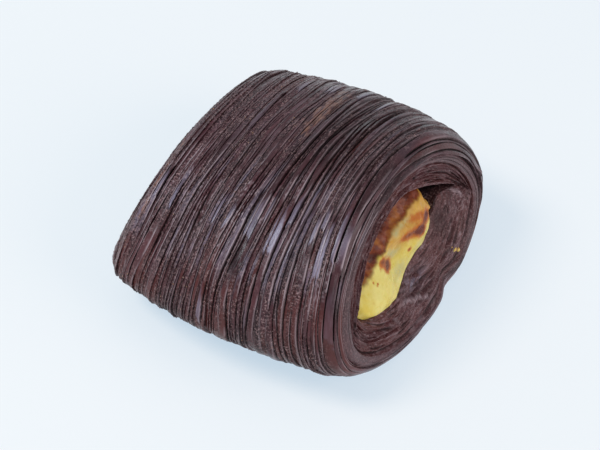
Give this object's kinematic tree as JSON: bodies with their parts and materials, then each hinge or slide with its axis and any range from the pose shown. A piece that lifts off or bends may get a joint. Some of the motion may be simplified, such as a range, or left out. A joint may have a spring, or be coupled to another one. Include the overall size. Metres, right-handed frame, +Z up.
{
  "type": "cream filled pastry roll",
  "caption": "Flattened roll of ridged dark cocoa pastry, open at both ends, with a baked custard cream running through it.",
  "frame": {"origin": "middle of the bounding box's underside, on the surface that the pastry lies on", "axes": "+X along the roll's axis toward its taller end, +Y across the roll toward the side of the open slit beside the cream, +Z up from the flat base"},
  "size_m": [0.0845, 0.096, 0.0507],
  "materials": {
    "cocoa_dough": "baked laminated cocoa dough, half glossy on its flat layers",
    "custard_cream": "baked custard cream, moist, with toasted spots"
  },
  "bodies": {
    "root": {"pastry_roll": "cocoa_dough", "cream_filling": "custard_cream"}
  },
  "joints": []
}
